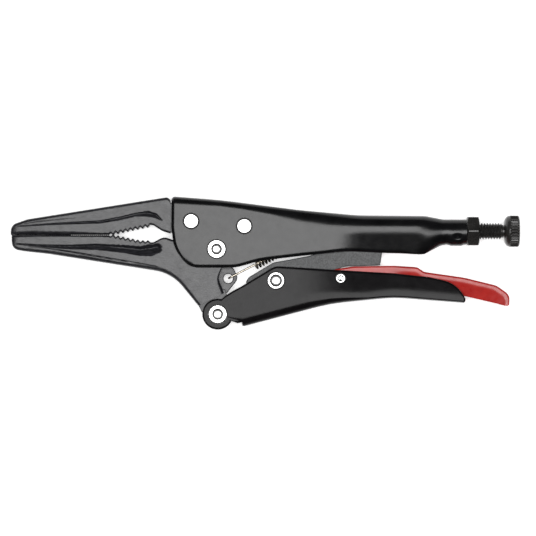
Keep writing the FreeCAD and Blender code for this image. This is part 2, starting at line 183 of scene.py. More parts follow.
def plate(name, outlines, half, bevel, segments=3):
    """A flat plate with rounded edges; the first outline is its rim, the others are holes."""
    curve = bpy.data.curves.new(name, "CURVE")
    curve.dimensions = "2D"
    curve.fill_mode = "BOTH"
    curve.extrude = (half - bevel) * MM
    curve.bevel_depth = bevel * MM
    curve.bevel_resolution = segments
    curve.offset = -bevel * MM
    for outline in outlines:
        spline = curve.splines.new("POLY")
        spline.points.add(len(outline) - 1)
        for point, (x, y) in zip(spline.points, outline):
            point.co = (x * MM, y * MM, 0, 1)
        spline.use_cyclic_u = True
    source = bpy.data.objects.new(name + "_curve", curve)
    bpy.context.collection.objects.link(source)
    mesh = bpy.data.meshes.new_from_object(source)
    bpy.data.objects.remove(source)
    mesh.name = name
    for vertex in mesh.vertices:
        vertex.co.z += MIDDLE_Z * MM
    piece = bpy.data.objects.new(name, mesh)
    bpy.context.collection.objects.link(piece)
    fix_normals(piece)
    return piece


def join(name, pieces):
    """Join pieces into one object."""
    bpy.ops.object.select_all(action="DESELECT")
    for piece in pieces:
        piece.select_set(True)
    bpy.context.view_layer.objects.active = pieces[0]
    bpy.ops.object.join()
    pieces[0].name = name
    pieces[0].data.name = name
    return pieces[0]


def lathe(name, profile, centre, sides):
    """Turn a profile of (height, radius) points about the upright line through centre."""
    angles = np.linspace(0, 2 * math.pi, sides, endpoint=False)
    rings = []
    for height, radius in profile:
        rings.append(np.stack([centre[0] + radius * np.cos(angles), centre[1] + radius * np.sin(angles),
                               np.full(sides, height)], axis=1))
    return tube_of_rings(name, rings)


def place(piece, body, node, material):
    """Give a finished piece its material and its body, and hide the CAD node that it stands for."""
    piece.data.materials.clear()
    piece.data.materials.append(material)
    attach(piece, body)
    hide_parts(node)


# ------------------------------------------------------------------ materials
def new_material(name):
    material = bpy.data.materials.new(name)
    material.use_nodes = True
    nodes = material.node_tree.nodes
    nodes.clear()
    output = nodes.new("ShaderNodeOutputMaterial")
    shader = nodes.new("ShaderNodeBsdfPrincipled")
    material.node_tree.links.new(shader.outputs[0], output.inputs[0])
    return material, shader


def noise(material, scale, detail=3.0, roughness=0.5, stretch=None):
    """A noise value over the piece's own coordinates; scale is features per metre."""
    tree = material.node_tree
    place_node = tree.nodes.new("ShaderNodeTexCoord")
    texture = tree.nodes.new("ShaderNodeTexNoise")
    texture.inputs["Scale"].default_value = scale
    texture.inputs["Detail"].default_value = detail
    texture.inputs["Roughness"].default_value = roughness
    source = place_node.outputs["Object"]
    if stretch:
        mapping = tree.nodes.new("ShaderNodeMapping")
        mapping.inputs["Scale"].default_value = stretch
        tree.links.new(source, mapping.inputs["Vector"])
        source = mapping.outputs[0]
    tree.links.new(source, texture.inputs["Vector"])
    return texture.outputs["Fac"]


def ramp(material, value, low, high, out_low, out_high):
    """Map a value's range onto another, clamped."""
    tree = material.node_tree
    node = tree.nodes.new("ShaderNodeMapRange")
    node.inputs["From Min"].default_value = low
    node.inputs["From Max"].default_value = high
    node.inputs["To Min"].default_value = out_low
    node.inputs["To Max"].default_value = out_high
    tree.links.new(value, node.inputs["Value"])
    return node.outputs[0]


def mix_colour(material, factor, first, second):
    tree = material.node_tree
    node = tree.nodes.new("ShaderNodeMix")
    node.data_type = "RGBA"
    tree.links.new(factor, node.inputs["Factor"])
    for socket, colour in ((node.inputs[6], first), (node.inputs[7], second)):
        if isinstance(colour, bpy.types.NodeSocket):
            tree.links.new(colour, socket)
        else:
            socket.default_value = (*colour, 1.0)
    return node.outputs[2]


def edge_wear(material):
    """1 on convex and concave edges, 0 on flat faces, from the bevel node's bent normal."""
    radius, low, high = 0.0004, 0.02, 0.2
    tree = material.node_tree
    bevel = tree.nodes.new("ShaderNodeBevel")
    bevel.samples = 6
    bevel.inputs["Radius"].default_value = radius
    geometry = tree.nodes.new("ShaderNodeNewGeometry")
    dot = tree.nodes.new("ShaderNodeVectorMath")
    dot.operation = "DOT_PRODUCT"
    tree.links.new(bevel.outputs[0], dot.inputs[0])
    tree.links.new(geometry.outputs["Normal"], dot.inputs[1])
    return ramp(material, dot.outputs["Value"], 1 - low, 1 - high, 0.0, 1.0)


def multiply(material, first, second):
    tree = material.node_tree
    node = tree.nodes.new("ShaderNodeMath")
    node.operation = "MULTIPLY"
    tree.links.new(first, node.inputs[0])
    tree.links.new(second, node.inputs[1])
    return node.outputs[0]


def bump(material, shader, height, strength, distance):
    tree = material.node_tree
    node = tree.nodes.new("ShaderNodeBump")
    node.inputs["Strength"].default_value = strength
    node.inputs["Distance"].default_value = distance
    tree.links.new(height, node.inputs["Height"])
    tree.links.new(node.outputs[0], shader.inputs["Normal"])


def steel(name, dark, light, worn, roughness, grain, grain_height, metallic=0.0, specular=0.5,
          wear=0.35, stretch=None, sheen=0.0, mottle_scale=140.0):
    """A steel finish: mottled colour, uneven gloss, fine grain, and wear along its edges."""
    material, shader = new_material(name)
    tree = material.node_tree
    mottle = noise(material, mottle_scale, 4.0, 0.6, stretch)
    colour = mix_colour(material, ramp(material, mottle, 0.35, 0.65, 0.0, 1.0), dark, light)
    patches = ramp(material, noise(material, 900.0, 2.0), 0.42, 0.62, 0.0, 1.0)
    edges = multiply(material, edge_wear(material), patches)
    edges = ramp(material, edges, 0.0, 1.0, 0.0, wear)
    tree.links.new(mix_colour(material, edges, colour, worn), shader.inputs["Base Color"])
    smears = noise(material, 320.0, 5.0, 0.65)
    uneven = ramp(material, smears, 0.3, 0.7, roughness - 0.03, roughness + 0.04)
    tree.links.new(uneven, shader.inputs["Roughness"])
    shader.inputs["Metallic"].default_value = metallic
    shader.inputs["Specular IOR Level"].default_value = specular
    shader.inputs["Sheen Weight"].default_value = sheen
    shader.inputs["Sheen Roughness"].default_value = 0.3
    bump(material, shader, noise(material, grain, 3.0, 0.6, stretch), 0.6, grain_height)
    return material


JAW_STEEL = steel("jaw_black_oxide", (0.004, 0.004, 0.005), (0.018, 0.018, 0.022), (0.16, 0.16, 0.17),
                  roughness=0.34, grain=1500.0, grain_height=0.00016, specular=0.40,
                  stretch=(0.35, 1.0, 1.0), mottle_scale=1100.0)
HANDLE_STEEL = steel("handle_black_oxide", (0.002, 0.002, 0.0023), (0.005, 0.005, 0.0056),
                     (0.10, 0.10, 0.10), roughness=0.23, grain=2200.0, grain_height=0.00003,
                     specular=0.265)
GRIP_STEEL = steel("grip_black_oxide", (0.003, 0.0026, 0.003), (0.006, 0.0053, 0.006),
                   (0.06, 0.06, 0.06), roughness=0.20, grain=2200.0, grain_height=0.00002,
                   specular=0.10, sheen=0.25)
LINK_STEEL = steel("link_grey_phosphate", (0.012, 0.013, 0.013), (0.050, 0.052, 0.055),
                   (0.20, 0.20, 0.20), roughness=0.42, grain=1500.0, grain_height=0.00030,
                   specular=0.42, mottle_scale=1300.0)
RIVET_STEEL = steel("rivet_bright_plate", (0.55, 0.55, 0.55), (0.66, 0.66, 0.65), (0.75, 0.75, 0.75),
                    roughness=0.3, grain=1500.0, grain_height=0.00001, metallic=1.0)
SCREW_STEEL = steel("screw_black_oxide", (0.011, 0.0105, 0.010), (0.022, 0.021, 0.020),
                    (0.12, 0.12, 0.12), roughness=0.27, grain=2600.0, grain_height=0.00003,
                    specular=0.38)
SPRING_STEEL = steel("spring_wire", (0.30, 0.27, 0.22), (0.42, 0.38, 0.32), (0.55, 0.52, 0.48),
                     roughness=0.25, grain=2000.0, grain_height=0.00002, metallic=1.0)


def red_enamel():
    """Semi-gloss red enamel, lighter red on its edges and rounded bends (partly paint worn thin, partly a
    painted highlight), with orange peel and faint scuffs.
    """
    material, shader = new_material("lever_red_enamel")
    tree = material.node_tree
    mottle = ramp(material, noise(material, 180.0, 4.0), 0.35, 0.65, 0.0, 1.0)
    colour = mix_colour(material, mottle, (0.34, 0.012, 0.010), (0.42, 0.020, 0.015))
    # painted highlight and wear: edges and rounded bends mix towards a lighter red, partly thin paint and
    # partly a painted highlight on the lever's rounded top
    edges = ramp(material, edge_wear(material), 0.0, 1.0, 0.0, 0.5)
    tree.links.new(mix_colour(material, edges, colour, (0.62, 0.12, 0.10)), shader.inputs["Base Color"])
    scuffs = noise(material, 500.0, 6.0, 0.7)
    tree.links.new(ramp(material, scuffs, 0.35, 0.7, 0.26, 0.42), shader.inputs["Roughness"])
    shader.inputs["Specular IOR Level"].default_value = 0.3
    shader.inputs["Coat Weight"].default_value = 0.15
    shader.inputs["Coat Roughness"].default_value = 0.2
    bump(material, shader, noise(material, 1100.0, 2.0), 0.4, 0.00003)
    return material


LEVER_RED = red_enamel()


# ------------------------------------------------------------------ camera, floor and light
def make_studio():
    """A camera straight above the tool, a white table and one broad light overhead."""
    low, high = cad_low, cad_high
    aside, down = 0.0013, 0.0023
    look_x = (low.x + high.x) / 2 + aside
    look_y = (low.y + high.y) / 2 - down
    distance, margin = 1.6, 1.0553
    covered = (high.x - low.x) * margin
    data = bpy.data.cameras.new("camera")
    data.lens = data.sensor_width * distance / covered
    data.clip_end = 20
    camera = bpy.data.objects.new("camera", data)
    camera.location = (look_x, look_y, MIDDLE_Z * MM + distance)
    bpy.context.collection.objects.link(camera)
    bpy.context.scene.camera = camera

    size = 6.0
    mesh = bpy.data.meshes.new("floor")
    mesh.from_pydata([(-size, -size, 0), (size, -size, 0), (size, size, 0), (-size, size, 0)], [],
                     [(0, 1, 2, 3)])
    floor = bpy.data.objects.new("floor", mesh)
    bpy.context.collection.objects.link(floor)
    material, shader = new_material("white_table")
    shader.inputs["Base Color"].default_value = (0.93, 0.93, 0.93, 1)
    shader.inputs["Roughness"].default_value = 0.9
    shader.inputs["Specular IOR Level"].default_value = 0.1
    shader.inputs["Emission Color"].default_value = (1, 1, 1, 1)
    shader.inputs["Emission Strength"].default_value = 0.45
    floor.data.materials.append(material)

    lamp = bpy.data.lights.new("overhead", "AREA")
    lamp.shape = "RECTANGLE"
    lamp.size = 1.45
    lamp.size_y = 0.98
    lamp.energy = 42
    light = bpy.data.objects.new("overhead", lamp)
    light.location = (0.0, 0.03, 1.9)
    light.rotation_mode = "QUATERNION"
    light.rotation_quaternion = (-Vector(light.location)).to_track_quat("-Z", "Y")
    bpy.context.collection.objects.link(light)

    world = bpy.data.worlds.new("dim_studio")
    world.use_nodes = True
    background = world.node_tree.nodes["Background"]
    background.inputs[0].default_value = (1, 1, 1, 1)
    background.inputs[1].default_value = 0.05
    bpy.context.scene.world = world
    bpy.context.scene.view_settings.view_transform = "Standard"


make_studio()


# ------------------------------------------------------------------ more mesh helpers
def along_x(corners):
    """A function that gives y for x along an open line with rounded corners."""
    points = rounded(corners)
    if points[0, 0] > points[-1, 0]:
        points = points[::-1]
    return lambda x: np.interp(x, points[:, 0], points[:, 1])


def skin(name, grids):
    """One mesh over several grids of points; a cell with a missing (NaN) corner is left out."""
    vertices, faces, start = [], [], 0
    for grid in grids:
        grid = np.asarray(grid, float)
        present = ~np.isnan(grid[:, :, 0])
        index = np.full(present.shape, -1)
        index[present] = start + np.arange(present.sum())
        start += int(present.sum())
        vertices.append(grid[present])
        for i in range(grid.shape[0] - 1):
            for j in range(grid.shape[1] - 1):
                corners = (index[i, j], index[i + 1, j], index[i + 1, j + 1], index[i, j + 1])
                if min(corners) >= 0:
                    faces.append(tuple(int(c) for c in corners))
    piece = make_object(name, np.vstack(vertices), faces)
    fix_normals(piece, 1e-5)
    return piece


def face_outwards(piece):
    """Turn the skin so that its topmost face looks up."""
    top = max(piece.data.polygons, key=lambda p: p.center.z)
    if top.normal.z < 0:
        piece.data.flip_normals()


def bake(piece):
    """Turn a piece's modifiers into its mesh."""
    graph = bpy.context.evaluated_depsgraph_get()
    mesh = bpy.data.meshes.new_from_object(piece.evaluated_get(graph))
    piece.modifiers.clear()
    piece.data = mesh
    mesh.name = piece.name


# rows of points behind a sheet's rim: close together where the rim is round
RIM_STEPS = np.array([0.0, 0.06, 0.2, 0.45, 0.8, 1.2, 1.7])


def fold(piece, thickness):
    """Thicken a skin inwards into sheet metal; the skin's own points stay first in the mesh."""
    face_outwards(piece)
    outer = len(piece.data.vertices)
    solid = piece.modifiers.new("thickness", "SOLIDIFY")
    solid.thickness = thickness * MM
    solid.offset = -1
    solid.use_even_offset = True
    solid.use_quality_normals = True
    normals = np.array([v.normal[:] for v in piece.data.vertices])
    bake(piece)
    return outer, normals


def round_rims(piece, outer, normals, rim, radius):
    """Round the outer rims: skin points near the rim line (x, y) sink along their normals."""
    points = np.array([v.co[:] for v in piece.data.vertices])
    x, y = points[:outer, 0] / MM, points[:outer, 1] / MM
    nearest = np.full(outer, 1e9)
    for a, b in zip(rim[:-1], rim[1:]):
        run = b - a
        t = np.clip(((x - a[0]) * run[0] + (y - a[1]) * run[1]) / max(run @ run, 1e-9), 0, 1)
        nearest = np.minimum(nearest, np.hypot(x - a[0] - t * run[0], y - a[1] - t * run[1]))
    reach = np.clip(radius(x) - nearest, 0, None)
    sink = radius(x) - np.sqrt(np.clip(radius(x) ** 2 - reach ** 2, 0, None))
    points[:outer] -= normals[:outer] * (sink * MM)[:, None]
    piece.data.vertices.foreach_set("co", points.ravel())
    piece.data.update()


def bevel_rims(piece, outer, width, until):
    """Bevel the sharp outer rims as far as x = until."""
    work = bmesh.new()
    work.from_mesh(piece.data)
    weight = work.edges.layers.float.new("bevel_weight_edge")
    for edge in work.edges:
        sharp = len(edge.link_faces) == 2 and edge.calc_face_angle() > math.radians(55)
        on_skin = max(v.index for v in edge.verts) < outer
        if sharp and on_skin and max(v.co.x for v in edge.verts) < until * MM:
            edge[weight] = 1.0
    work.to_mesh(piece.data)
    work.free()
    bevel = piece.modifiers.new("rims", "BEVEL")
    bevel.width = width * MM
    bevel.segments = 4
    bevel.limit_method = "WEIGHT"
    bevel.use_clamp_overlap = False
    bake(piece)


def drill(piece, centre, radius):
    """Cut a round hole through a piece."""
    reach = 12.0
    cutter = lathe("cutter", [(-reach, radius), (reach, radius)], centre, sides=64)
    modifier = piece.modifiers.new("hole", "BOOLEAN")
    modifier.object = cutter
    modifier.operation = "DIFFERENCE"
    modifier.solver = "EXACT"
    bake(piece)
    bpy.data.objects.remove(cutter)


def mirrored(section):
    """A half section (y, z), from the rim to the middle plane, completed on the other side."""
    other = section[::-1] * [1, -1]
    return np.vstack([section, other[1:] if abs(section[-1, 1]) < 1e-6 else other])


def sweep(section, stations):
    """A grid of points: the section at every station x, completed on the far side."""
    rows = []
    for x in stations:
        ring = mirrored(section(x))
        rows.append(np.column_stack([np.full(len(ring), x), ring]))
    return np.stack(rows)


def tube(name, path, radius, sides=14):
    """A round wire along a path of points."""
    path = np.asarray(path, float)
    tangents = np.gradient(path, axis=0)
    tangents /= np.linalg.norm(tangents, axis=1)[:, None]
    side = np.cross(tangents[0], [0.3, 0.2, 1.0])
    angles = np.linspace(0, 2 * math.pi, sides, endpoint=False)
    rings = []
    for point, tangent in zip(path, tangents):
        side = side - tangent * (side @ tangent)
        side /= np.linalg.norm(side)
        other = np.cross(tangent, side)
        rings.append(point + radius * (np.outer(np.cos(angles), side) + np.outer(np.sin(angles), other)))
    return tube_of_rings(name, rings)


# ------------------------------------------------------------------ jaws
PARTING, HALF_GAP = 12.65, 0.03
NOSE_HALF = 0.4
FINE_START, FINE_END, FINE_TEETH = -88.0, -70.0, 20
MOUTH_START, MOUTH_MIDDLE, MOUTH_END = -69.8, -56.4, -52.0
UPPER_TEETH, LOWER_TEETH, REAR_TEETH = 8, 6, 2
SPRING_HOLE = np.array([-16.7, -7.0])
QUARTER = np.linspace(0, math.pi / 2, 6)


def saw(x, start, end, count):
    """A triangle wave from 0 at the roots to 1 at the tips between two places, 0 outside."""
    phase = (np.asarray(x, float) - start) / (end - start) * count
    wave = 1 - np.abs(2 * (phase - np.floor(phase)) - 1)
    return np.where((x > start) & (x < end), wave, 0.0)


def forged_stations(start, end):
    """Stations along a jaw: close together at the tip, and on every tooth's root, flank and tip."""
    tip = start + np.array([0.0, 0.1, 0.3, 0.6, 1.0, 1.5, 2.1, 2.8])
    rear = max(end - 2.2, MOUTH_END)
    places = np.concatenate([tip, np.arange(tip[-1] + 0.6, FINE_START - 0.2, 0.6),
                             np.linspace(FINE_START, FINE_END, FINE_TEETH * 4 + 1),
                             np.linspace(MOUTH_START, MOUTH_END, UPPER_TEETH * 6 + 1),
                             np.arange(MOUTH_END + 0.4, rear, 0.35), np.linspace(rear, end, 16)])
    return np.unique(np.round(places, 4))


def side_of(a, run, x, y):
    """Distance to the left of the line that starts at a and goes along run."""
    return (run[0] * (y - a[1]) - run[1] * (x - a[0])) / np.hypot(run[0], run[1])


def hollow(x, y, line, widths, low_slope, high_slope):
    """Depth of a lopsided V-shaped groove along a line of (x, y) points, towards +x."""
    best = np.full(np.shape(y), 1e9)
    depth = np.zeros(np.shape(y))
    for (a, b, wide_a, wide_b) in zip(line[:-1], line[1:], widths[:-1], widths[1:]):
        a, b = np.array(a, float), np.array(b, float)
        run = b - a
        t = np.clip(((x - a[0]) * run[0] + (y - a[1]) * run[1]) / (run @ run), 0, 1)
        away = np.hypot(x - a[0] - t * run[0], y - a[1] - t * run[1])
        wide = wide_a + t * (wide_b - wide_a)
        across = side_of(a, run, x, y)
        here = np.minimum(low_slope * (wide + across), high_slope * (wide - across))
        here = np.minimum(here, high_slope * (wide - away))
        depth = np.where(away - wide < best, np.clip(here, 0, None), depth)
        best = np.minimum(best, away - wide)
    return depth


def forged(name, upper, lower, half, upper_round, lower_round, relief):
    """A forged bar between two edge lines, with round edges and faces sunk by relief(x, y)."""
    across = 64
    rings = []
    for i in range(len(upper)):
        start, end = np.array(upper[i], float), np.array(lower[i], float)
        length = np.linalg.norm(end - start)
        run = (end - start) / length
        high = half(start[0])
        first = min(upper_round[i], length * 0.4, high * 0.8)
        last = min(lower_round[i], length * 0.4, high * 0.8)
        away = np.concatenate([first * (1 - np.cos(QUARTER)), np.linspace(first, length - last, across)[1:-1],
                               length - last * (1 - np.cos(QUARTER[::-1]))])
        drop = np.concatenate([first * (1 - np.sin(QUARTER)), np.zeros(across - 2),
                               last * (1 - np.sin(QUARTER[::-1]))])
        x = start[0] + run[0] * away
        y = start[1] + run[1] * away
        z = np.maximum(half(x) - drop - relief(x, y), NOSE_HALF)
        side = np.stack([x, y, z], axis=1)
        rings.append(np.vstack([side, side[::-1] * [1, 1, -1]]))
    return tube_of_rings(name, rings)


def make_fixed_jaw():
    """The upper jaw: a tapering nose over the toothed mouth, and a tang inside the handle."""
    stations = forged_stations(-115.0, -42.9)
    rim = rounded([(-115.0, 10.0), (-115.0, 17.2, 3.5), (-107.5, 19.8, 12), (-97.5, 21.35, 60),
                   (-42.9, 29.95, 1.8), (-42.85, 25.0)], 2.0)[1:-1]
    top = np.interp(stations, rim[:, 0], rim[:, 1])
    face = PARTING + HALF_GAP
    bottom = np.interp(stations, [-115, -70.6, MOUTH_START, MOUTH_END, -50.4, -48.6, -46.5, -43.2],
                       [face, face, 13.5, 17.3, 17.0, 15.8, 14.5, 13.4])
    bottom = bottom - 1.25 * saw(stations, MOUTH_START, MOUTH_END, UPPER_TEETH)
    bottom = bottom + 0.22 * saw(stations, FINE_START, FINE_END, FINE_TEETH)

    def half(x):
        return np.interp(x, [-115, -114.6, -113.8, -112.4, -100, -60, -43],
                         [2.3, 2.75, 3.05, 3.3, 4.15, 5.55, 6.0])

    main = [(-111.5, 16.6), (-98.0, 17.5), (-83.7, 18.2), (-74.8, 18.5), (-66.0, 20.0), (-58.5, 21.8),
            (-53.0, 22.2), (-49.6, 21.4), (-46.8, 19.4)]
    main_width = [0.25, 0.45, 0.6, 0.7, 0.75, 0.8, 1.25, 1.1, 0.35]
    crease = [(-112.0, 17.2), (-104.0, 18.6), (-90.0, 20.0), (-82.0, 20.6)]
    crease_width = [0.1, 0.3, 0.25, 0.05]

    def relief(x, y):
        return (hollow(x, y, main, main_width, 0.5, 1.1)
                + hollow(x, y, crease, crease_width, 0.3, 0.3))

    soft = np.interp(stations, [-115, -106, -88, -74, -43], [1.6, 2.1, 1.7, 1.0, 1.0])
    top_round = np.interp(stations, [-115, -100, -43], [1.5, 1.3, 1.3])
    nose = forged("fixed_jaw_nose", np.stack([stations, top], 1), np.stack([stations, bottom], 1),
                  half, top_round, soft, relief)
    shank = rounded([(-46.0, 15.4), (-42.0, 13.5, 4), (-34.0, 13.3, 3), (-27.0, 14.9, 4), (-17.0, 14.9, 5),
                     (-13.5, 12.4, 3), (-5.0, 12.4, 3), (-5.0, 24.0, 1), (-22.0, 26.0), (-41.8, 27.2),
                     (-46.0, 27.2)])
    jaw = join("fixed_jaw", [nose, plate("fixed_jaw_tang", [shank], 4.66, 0.4)])
    shade(jaw, 40)
    place(jaw, "upper_handle", "fixed_jaw", JAW_STEEL)


def make_moving_jaw():
    """The jaw's lower edge runs on into the ear; its upper edge passes under the upper handle."""
    stations = forged_stations(-114.6, MOUTH_END)
    rim = rounded([(-114.6, 14.0), (-114.6, 6.3, 3.6), (-108.5, 5.3, 10), (-97.5, 4.1, 60), (-42.2, -4.6, 20),
                   (-30.2, -19.3)], 4.0)[1:]
    fan = 70
    face = PARTING - HALF_GAP
    bottom = np.interp(stations, rim[:, 0], rim[:, 1])
    top = np.interp(stations, [-114.6, -70.6, MOUTH_START, MOUTH_MIDDLE, MOUTH_END],
                    [face, face, 12.0, 9.3, 9.3])
    top = top + 1.2 * saw(stations, MOUTH_START, MOUTH_MIDDLE, LOWER_TEETH)
    top = top + 1.15 * saw(stations, MOUTH_MIDDLE, MOUTH_END + 0.1, REAR_TEETH)
    top = top - 0.2 * saw(stations, FINE_START, FINE_END, FINE_TEETH)
    lower_end = rim[rim[:, 0] > MOUTH_END + 0.1]
    upper_end = rounded([(MOUTH_END, 9.3), (-50.6, 9.3, 1), (-45.8, 11.9, 4), (-41.2, 10.3, 5),
                         (-33.0, 8.6, 4), (-20.5, 9.6, 5), (-14.9, 2.0, 5), (-19.3, -1.8, 2),
                         (-21.3, -6.6, 6), (-18.6, -13.6)], 4.0)
    upper = np.vstack([np.stack([stations, top], 1), resample(upper_end, fan + 1)[1:]])
    start = [(MOUTH_END, float(np.interp(MOUTH_END, rim[:, 0], rim[:, 1])))]
    lower = np.vstack([np.stack([stations, bottom], 1),
                       resample(np.vstack([start, lower_end]), fan + 1)[1:]])
    count = len(stations)

    def half(x):
        return np.interp(x, [-114.6, -114.2, -113.4, -112.0, -100, -70, -40],
                         [2.3, 2.75, 3.05, 3.25, 3.75, 4.38, 4.38])

    main = [(-112.5, 8.7), (-100.0, 7.7), (-88.8, 7.2), (-76.0, 7.3), (-64.0, 6.3), (-56.5, 5.3),
            (-51.8, 5.7), (-49.0, 6.5)]
    main_width = [0.35, 0.7, 1.0, 1.4, 1.7, 2.1, 2.6, 2.2]
    crease = [(-107.0, 7.4), (-98.0, 6.6), (-88.9, 5.3), (-68.1, 1.7), (-50.0, -1.4), (-44.0, -3.0)]
    crease_width = [0.1, 0.25, 0.4, 0.42, 0.38, 0.05]

    def relief(x, y):
        return (hollow(x, y, main, main_width, 0.5, 1.1)
                + hollow(x, y, crease, crease_width, 0.5, 0.5))

    top_round = np.concatenate([np.interp(stations, [-114.6, -104, -90, -74], [1.2, 0.9, 0.8, 0.9]),
                                np.interp(np.arange(fan), [0, 8, 50, fan], [0.9, 1.0, 1.1, 1.5])])
    bottom_round = np.interp(np.arange(count + fan), [0, 30, count, count + fan], [1.4, 1.7, 2.1, 1.4])
    nose = forged("moving_jaw_nose", upper, lower, half, top_round, bottom_round, relief)
    ear = rounded([(-18.0, -12.0), (-15.4, -22.0), (-28.2, -22.9), (-30.2, -19.1, 0.8), (-24.0, -12.0)])
    hub = arc(HANDLE_PIVOT, 6.3, 0, 354, 60)
    tab = rounded([(-20.0, -1.0), (-14.4, -1.8, 3), (-12.2, -7.2, 3), (-17.9, -14.4, 1), (-22.5, -8.0)])
    eye = arc(SPRING_HOLE, 2.1, 0, 350, 36)
    jaw = join("moving_jaw", [nose, plate("ear", [ear], 2.88, 0.3), plate("ear_hub", [hub], 2.86, 0.3),
                              plate("spring_tab", [tab, eye], 1.2, 0.42)])
    shade(jaw, 40)
    place(jaw, "moving_jaw", "moving_jaw", JAW_STEEL)


make_fixed_jaw()
make_moving_jaw()


# ------------------------------------------------------------------ handles
FLUSH_RIVETS = [np.array([-33.4, 18.9]), np.array([-9.4, 16.7])]


def quarter_bend(count, power):
    """(across, up) along a quarter of a rounded square, from the wall (1, 0) to the web (0, 1)."""
    angles = np.linspace(0, math.pi / 2, count)
    return np.cos(angles) ** (2 / power), np.sin(angles) ** (2 / power)


def make_upper_handle():
    """A pressed channel, open below, that closes into a round neck for the adjusting screw."""
    front_end, neck_end, sheet = -24.0, 91.1, 1.9
    top = along_x([(-42.2, 30.15), (-20.4, 28.5, 200), (15.8, 23.9, 150), (42.0, 21.6, 80), (72.6, 21.3, 12),
                   (80.5, 19.75), (neck_end, 19.7)])
    bottom_corners = [(front_end, -2.1), (-13.0, -2.1, 20), (-2.5, 1.0, 40), (16.0, 3.2, 60), (36.0, 5.2, 60),
                      (56.0, 4.1, 60), (71.8, 3.9, 3), (79.4, 7.8, 4), (82.0, 8.3), (neck_end, 8.3)]
    bottom = along_x(bottom_corners)
    front = rounded([(front_end, -2.1), (-34.6, -2.1, 9), (-41.2, 7.0, 14), (-42.4, 16.0, 20),
                     (-42.2, 30.15)], 3.0)

    def wall_top(x):
        return np.interp(x, [-41.5, -20.4, -10, 2.6, 15.8, 28, 44.8, 61.1, 75],
                         [26.3, 25.2, 23.8, 21.2, 17.4, 15.7, 15.6, 15.6, 15.4])

    def section(x):
        high, low, limit = top(x), bottom(x), wall_top(x)
        low -= 0.55 * smooth(x, 82.0, 84.5) * (1 - smooth(x, 88.5, 90.5))
        half = 6.6 + 0.45 * smooth(x, 20, 45) * (1 - smooth(x, 68, 80))
        rise = 3.6 + 2.4 * smooth(x, 10, 45)
        lean = 0.23 * smooth(x, 26, 46)
        y = np.concatenate([low + RIM_STEPS, np.linspace(low + RIM_STEPS[-1], limit, 19)[1:]])
        fall = np.clip(limit - y, 0, None)
        z = half - lean * np.where(fall < 3, fall ** 2 / 6, fall - 1.5)
        across, up = quarter_bend(12, 2.1)
        bend_y = limit + (high - limit) * up[1:]
        bend_z = half - rise + rise * across[1:]
        shape = np.concatenate([np.stack([y, z], 1), np.stack([bend_y, bend_z], 1), [[high, 0.0]]])
        turn = np.radians(np.linspace(-88, 90, len(shape)))
        radius_z = np.interp(x, [68, 80.5], [7.0, 5.7])
        ring = np.stack([(high + low) / 2 + (high - low) / 2 * np.sin(turn), radius_z * np.cos(turn)], 1)
        closing = float(smooth(x, 68, 80.0))
        shape = shape * (1 - closing) + ring * closing
        shape[-1] = (high, 0.0)
        dent = 1.1 * np.exp(-((x - 86.9) / 1.5) ** 2 - ((shape[:, 0] - 11.8) / 0.9) ** 2)
        shape[:, 1] -= dent * (shape[:, 1] > 2)
        return shape

    stations = np.concatenate([np.arange(front_end, 66, 1.3), np.arange(66, 82, 0.7),
                               np.arange(82, 90.2, 0.35), [neck_end]])
    channel = sweep(section, stations)
    edge = section(-41.0)
    front_x = np.interp(edge[:, 0], front[:, 1], front[:, 0])
    # the lowest row starts where the front edge turns up from the level lower edge
    front_x[0] = -30.4
    rim_shares = RIM_STEPS / (front_end + 42.0)
    inward = np.concatenate([rim_shares, np.linspace(rim_shares[-1], 1, 10)[1:]])
    patch = []
    for share in inward:
        x_row = front_x * (1 - share) + front_end * share
        patch.append([(x, *section(x)[j]) for j, x in enumerate(x_row)])
    patch = np.array(patch)
    other = patch[:, ::-1] * [1, 1, -1]
    piece = skin("upper_handle", [channel, np.concatenate([patch, other[:, 1:]], axis=1)])
    outer, normals = fold(piece, sheet)
    lower_edge = rounded(bottom_corners)
    lower_edge = lower_edge[lower_edge[:, 0] < 74]
    rim = np.vstack([front[::-1], lower_edge[1:]])
    round_rims(piece, outer, normals, rim, lambda x: 0.02 + 1.55 * (1 - smooth(x, 60, 70)))
    for centre in FLUSH_RIVETS:
        drill(piece, centre, 3.9)
    shade(piece, 42)
    place(piece, "upper_handle", "upper_handle", HANDLE_STEEL)


def lower_lean(x):
    return 0.05 + 0.15 * smooth(x, 0, 44)


def lower_half(x):
    return np.interp(x, [-2, 30], [5.1, 6.95])


def lower_wall(x, y, low, bend):
    """Height of the lower handle's wall: straight above the bend, then leaning inwards."""
    fall = np.clip(y - (low + bend), 0, None)
    soft = 3.0 + smooth(x, 40, 60)
    return lower_half(x) - lower_lean(x) * np.where(fall < soft, fall ** 2 / (2 * soft), fall - soft / 2)


LOWER_BOTTOM = along_x([(-10.2, -28.8), (29.4, -18.4, 80), (58.0, -15.6, 60), (90.3, -18.1)])
LOWER_TOP = along_x([(90.3, -15.9), (86.8, -9.0, 14), (74.0, -6.2, 12), (58.0, -4.5, 40), (4.5, -1.3, 6),
                     (-19.2, -15.6)])


def lower_bend(x):
    return np.interp(x, [-10, 18, 46, 90], [4.4, 4.2, 1.3, 0.9])


